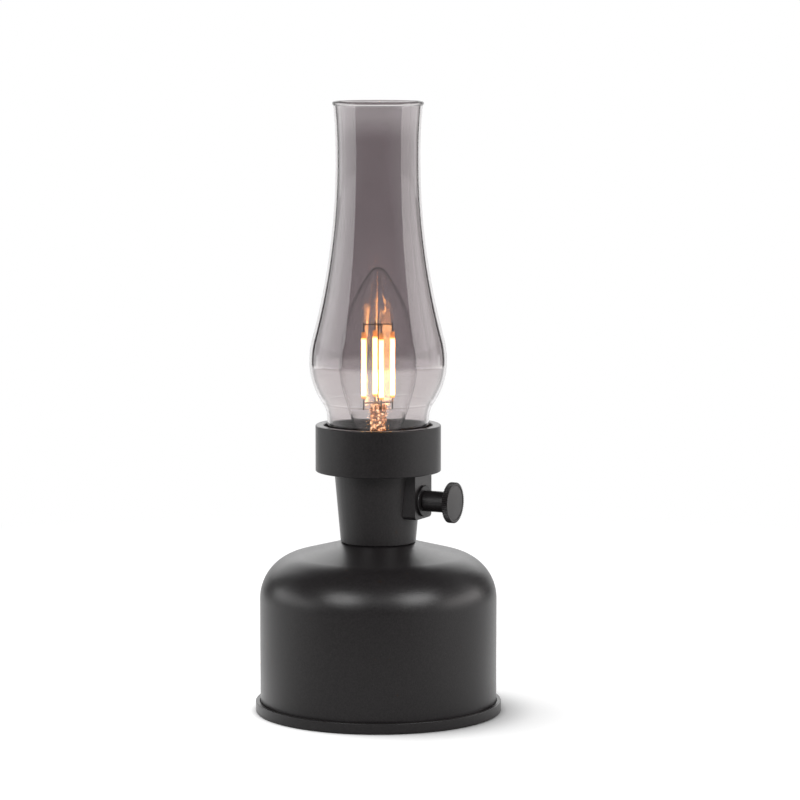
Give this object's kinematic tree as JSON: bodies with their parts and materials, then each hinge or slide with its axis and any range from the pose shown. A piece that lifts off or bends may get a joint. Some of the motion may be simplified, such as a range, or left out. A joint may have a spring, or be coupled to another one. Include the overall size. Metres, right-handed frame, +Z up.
{
  "type": "led lantern",
  "caption": "Table lantern shaped like an oil lamp: matt black domed tank, tapered neck with a side knob, and a smoked glass chimney over a filament candle bulb.",
  "frame": {"origin": "centre of the base, on the surface that the lantern stands on", "axes": "+Z up along the axis of the tank and the glass, +X out along the knob"},
  "size_m": [0.111, 0.111, 0.2749],
  "materials": {
    "black_metal": "matt black powder coat with a fine grain",
    "rubber": "soft matt rubber",
    "zinc_steel": "zinc plated",
    "smoked_glass": "clear blown glass with a smoky grey tint",
    "clear_glass": "clear thin glass",
    "filament": "glowing coated stick",
    "support_wire": "bare drawn wire",
    "nickel": "nickel plated",
    "black_plastic": "moulded matt plastic",
    "brass": "bright brass",
    "cell_wrap": "plain shrunk sleeve",
    "circuit_board": "solder mask",
    "lead_jacket": "soft insulation"
  },
  "bodies": {
    "body": {"base_plate": "black_metal", "tank_shell": "black_metal", "neck": "black_metal", "collar": "black_metal", "switch_block": "black_metal", "switch_ring_nut": "black_metal", "rubber_feet": "rubber", "chimney_seat_ring": "rubber", "neck_spacer": "rubber", "base_brackets": "zinc_steel", "base_screws": "zinc_steel", "block_screws": "zinc_steel", "cup_screws": "zinc_steel", "board_screws": "zinc_steel", "lock_nut": "zinc_steel", "lock_washer": "zinc_steel", "cartridge_springs": "zinc_steel", "cartridge_plates": "zinc_steel", "lampholder_base": "black_plastic", "lampholder_barrel": "black_plastic", "shade_ring": "black_plastic", "switch_body": "black_plastic", "battery_cup": "black_plastic", "battery_cartridge": "black_plastic", "board_components": "black_plastic", "lampholder_sleeve": "brass", "lampholder_tongue": "brass", "threaded_nipple": "brass", "cup_contacts": "brass", "board_standoffs": "brass", "battery_cells": "cell_wrap", "driver_board": "circuit_board", "lamp_leads": "lead_jacket", "switch_leads": "lead_jacket", "battery_leads": "lead_jacket"},
    "knob": {"knob": "black_metal", "switch_shaft": "zinc_steel", "knob_grub_screw": "zinc_steel"},
    "chimney": {"glass_chimney": "smoked_glass"},
    "bulb_contact": {"bulb_insulator": "black_plastic", "bulb_tip_contact": "nickel"},
    "bulb": {"bulb_glass": "clear_glass", "bulb_stem": "clear_glass", "bulb_filaments": "filament", "bulb_wires": "support_wire", "bulb_cap": "nickel"},
    "battery_door": {"battery_door": "black_plastic"}
  },
  "joints": [
    {"name": "knob_turn", "type": "hinge", "parent": "body", "child": "knob", "pos_m": [0, 0, 0.09699], "axis": [1, 0, 0], "range_deg": [0, 280]},
    {"name": "chimney_lift", "type": "slide", "parent": "body", "child": "chimney", "axis": [0, 0, 1], "range_m": [0, 0.1]},
    {"name": "bulb_rise", "type": "slide", "parent": "body", "child": "bulb_contact", "axis": [0, 0, 1], "range_m": [0, 0.0142]},
    {"name": "bulb_turn", "type": "hinge", "parent": "bulb_contact", "child": "bulb", "pos_m": [0, 0, 0.11], "axis": [0, 0, 1], "range_deg": [0, 1800]},
    {"name": "door_twist", "type": "hinge", "parent": "body", "child": "battery_door", "pos_m": [0, 0, 0.002], "axis": [0, 0, 1], "range_deg": [0, 45]}
  ],
  "couplings": [
    {"joint": "bulb_rise", "follows": "bulb_turn", "m_per_rad": 0.00044882}
  ]
}
